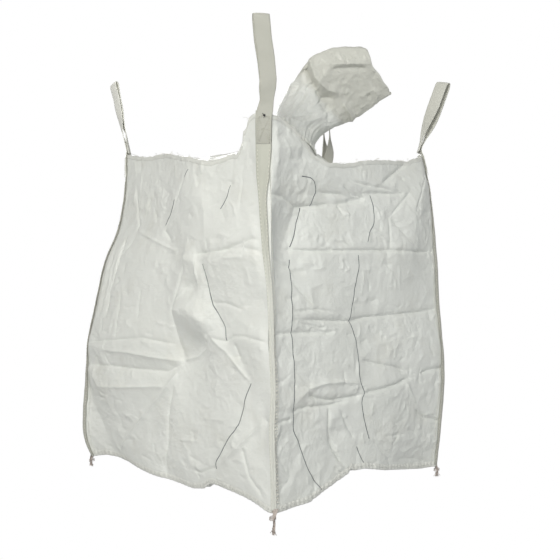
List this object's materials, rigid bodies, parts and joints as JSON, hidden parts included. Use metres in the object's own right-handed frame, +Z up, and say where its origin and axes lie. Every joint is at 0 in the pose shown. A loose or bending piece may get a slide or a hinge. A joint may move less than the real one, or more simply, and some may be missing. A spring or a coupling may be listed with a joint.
{
  "type": "bulk bag",
  "caption": "Empty woven bulk bag hung by its corner lifting loops, with webbing down each corner, a closed top and a limp filling spout.",
  "frame": {"origin": "centre of the underside of the base panel", "axes": "+Z up; the front left wall faces -Y, the front right wall faces +X"},
  "size_m": [1.0025, 1.0216, 1.4512],
  "materials": {
    "wall_cloth": "coated woven polypropylene, slightly glossy",
    "thin_cloth": "thin coated woven polypropylene, glossy",
    "webbing": "matte woven webbing",
    "thread": "matte sewing thread and turned cloth",
    "tail": "frayed webbing and thread",
    "dark_thread": "matte thread"
  },
  "bodies": {
    "bag": {"wall_front_left": "wall_cloth", "wall_front_right": "wall_cloth", "wall_back_right": "wall_cloth", "wall_back_left": "wall_cloth", "rim_hem_front_left": "thread", "rim_hem_front_right": "thread", "rim_hem_back_right": "thread", "rim_hem_back_left": "thread", "corner_belt_front": "webbing", "corner_belt_left": "webbing", "corner_belt_right": "webbing", "corner_belt_back": "webbing", "corner_seam_front": "thread", "corner_seam_left": "thread", "corner_seam_right": "thread", "corner_seam_back": "thread", "loop_stitch_front": "thread", "loop_stitch_left": "thread", "loop_stitch_right": "thread", "loop_stitch_back": "thread", "top_panel": "thin_cloth", "spout_collar_seam": "thread", "spout_neck": "thin_cloth", "loop_thread_knot": "dark_thread"},
    "base": {"base_panel": "wall_cloth", "base_seam_front_left": "thread", "base_seam_front_right": "thread", "base_seam_back_right": "thread", "base_seam_back_left": "thread", "corner_tail_front": "tail", "corner_tail_left": "tail", "corner_tail_right": "tail", "corner_tail_back": "tail"},
    "spout": {"spout_sleeve": "thin_cloth"},
    "loop_front": {"lifting_loop_front": "webbing"},
    "loop_left": {"lifting_loop_left": "webbing"},
    "loop_right": {"lifting_loop_right": "webbing"},
    "loop_back": {"lifting_loop_back": "webbing"}
  },
  "joints": [
    {"name": "base_collapse", "type": "slide", "parent": "bag", "child": "base", "axis": [0, 0, 1], "range_m": [0, 0.55], "deforming": ["wall_front_left", "wall_front_right", "wall_back_right", "wall_back_left", "corner_belt_front", "corner_belt_left", "corner_belt_right", "corner_belt_back", "corner_seam_front", "corner_seam_left", "corner_seam_right", "corner_seam_back"]},
    {"name": "loop_front_fold", "type": "hinge", "parent": "bag", "child": "loop_front", "pos_m": [0.38712, -0.39612, 1.106], "axis": [0.7071, 0.7071, 0], "range_deg": [-81, 149]},
    {"name": "loop_left_fold", "type": "hinge", "parent": "bag", "child": "loop_left", "pos_m": [-0.40239, -0.32539, 1.106], "axis": [0.7071, -0.7071, 0], "range_deg": [-92, 138]},
    {"name": "loop_right_fold", "type": "hinge", "parent": "bag", "child": "loop_right", "pos_m": [0.37094, 0.38912, 1.106], "axis": [-0.7071, 0.7071, 0], "range_deg": [-100, 130]},
    {"name": "loop_back_fold", "type": "hinge", "parent": "bag", "child": "loop_back", "pos_m": [-0.20758, 0.53858, 1.106], "axis": [-0.7071, -0.7071, 0], "range_deg": [-82, 148]},
    {"name": "spout_flop", "type": "hinge", "parent": "bag", "child": "spout", "pos_m": [0.26739, -0.01561, 1.2395], "axis": [0.7071, -0.7071, 0], "range_deg": [-30, 120], "deforming": ["spout_neck"]}
  ]
}
